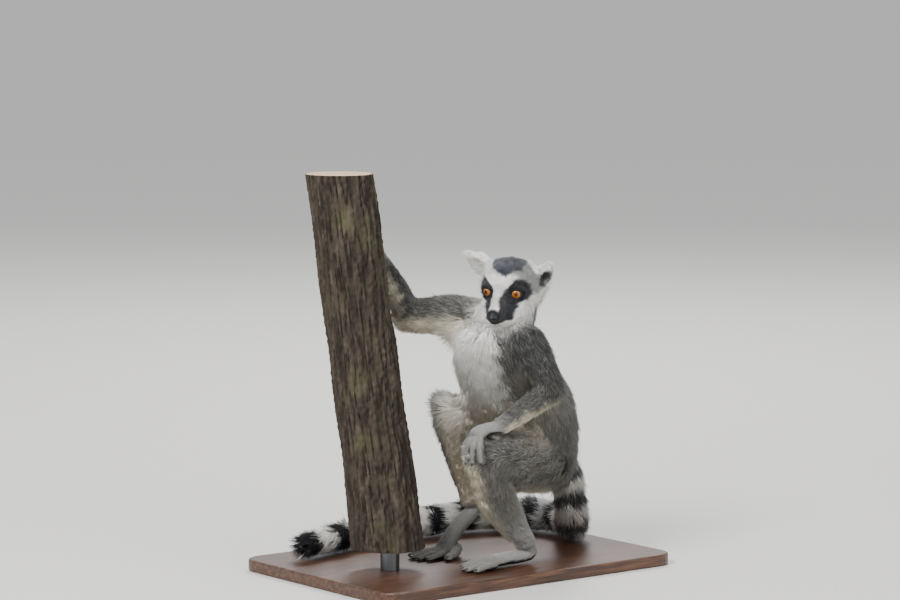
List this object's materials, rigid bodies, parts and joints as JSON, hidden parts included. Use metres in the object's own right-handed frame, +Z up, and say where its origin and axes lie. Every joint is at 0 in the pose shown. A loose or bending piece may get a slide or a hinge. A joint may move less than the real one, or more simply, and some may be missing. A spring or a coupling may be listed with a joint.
{
  "type": "ring-tailed lemur",
  "caption": "Life-size still model of a ring-tailed lemur, half squatting with one hand on a short length of tree trunk, its banded tail laid round its side, on a flat stand",
  "frame": {"origin": "on the underside of the stand base, at the middle of the bounding box seen from above", "axes": "+Z is up, -Y is the way the animal's chest faces, +X is its left side; the cut trunk stands in front of it at -Y"},
  "size_m": [0.29, 0.425, 0.469],
  "materials": {
    "coat_grey": "dense short woolly fur, brown-grey above and cream-white below",
    "coat_pale": "short close fur, grey-white, over black palms, soles and nails",
    "coat_face": "short fur, white with black eye patches, black muzzle and slate crown",
    "coat_tail": "long soft fur in black and white rings, black tip",
    "eye_glass": "glossy amber glass eye with a black pupil",
    "bark": "rough furrowed bark with sawn ends",
    "stand_wood": "satin dark hardwood",
    "stand_metal": "dark brushed steel"
  },
  "bodies": {
    "root": {"head": "coat_face", "ear_left": "coat_face", "ear_right": "coat_face", "eye_left": "eye_glass", "eye_right": "eye_glass", "neck": "coat_grey", "torso": "coat_grey", "upper_arm_left": "coat_grey", "upper_arm_right": "coat_grey", "forearm_left": "coat_grey", "forearm_right": "coat_grey", "thigh_left": "coat_grey", "thigh_right": "coat_grey", "shank_left": "coat_grey", "shank_right": "coat_grey", "hand_left": "coat_pale", "hand_right": "coat_pale", "foot_left": "coat_pale", "foot_right": "coat_pale", "tail_1": "coat_tail", "tail_2": "coat_tail", "tail_3": "coat_tail", "tail_4": "coat_tail", "tail_5": "coat_tail", "perch_trunk": "bark", "stand_base": "stand_wood", "stand_rod": "stand_metal"}
  },
  "joints": []
}
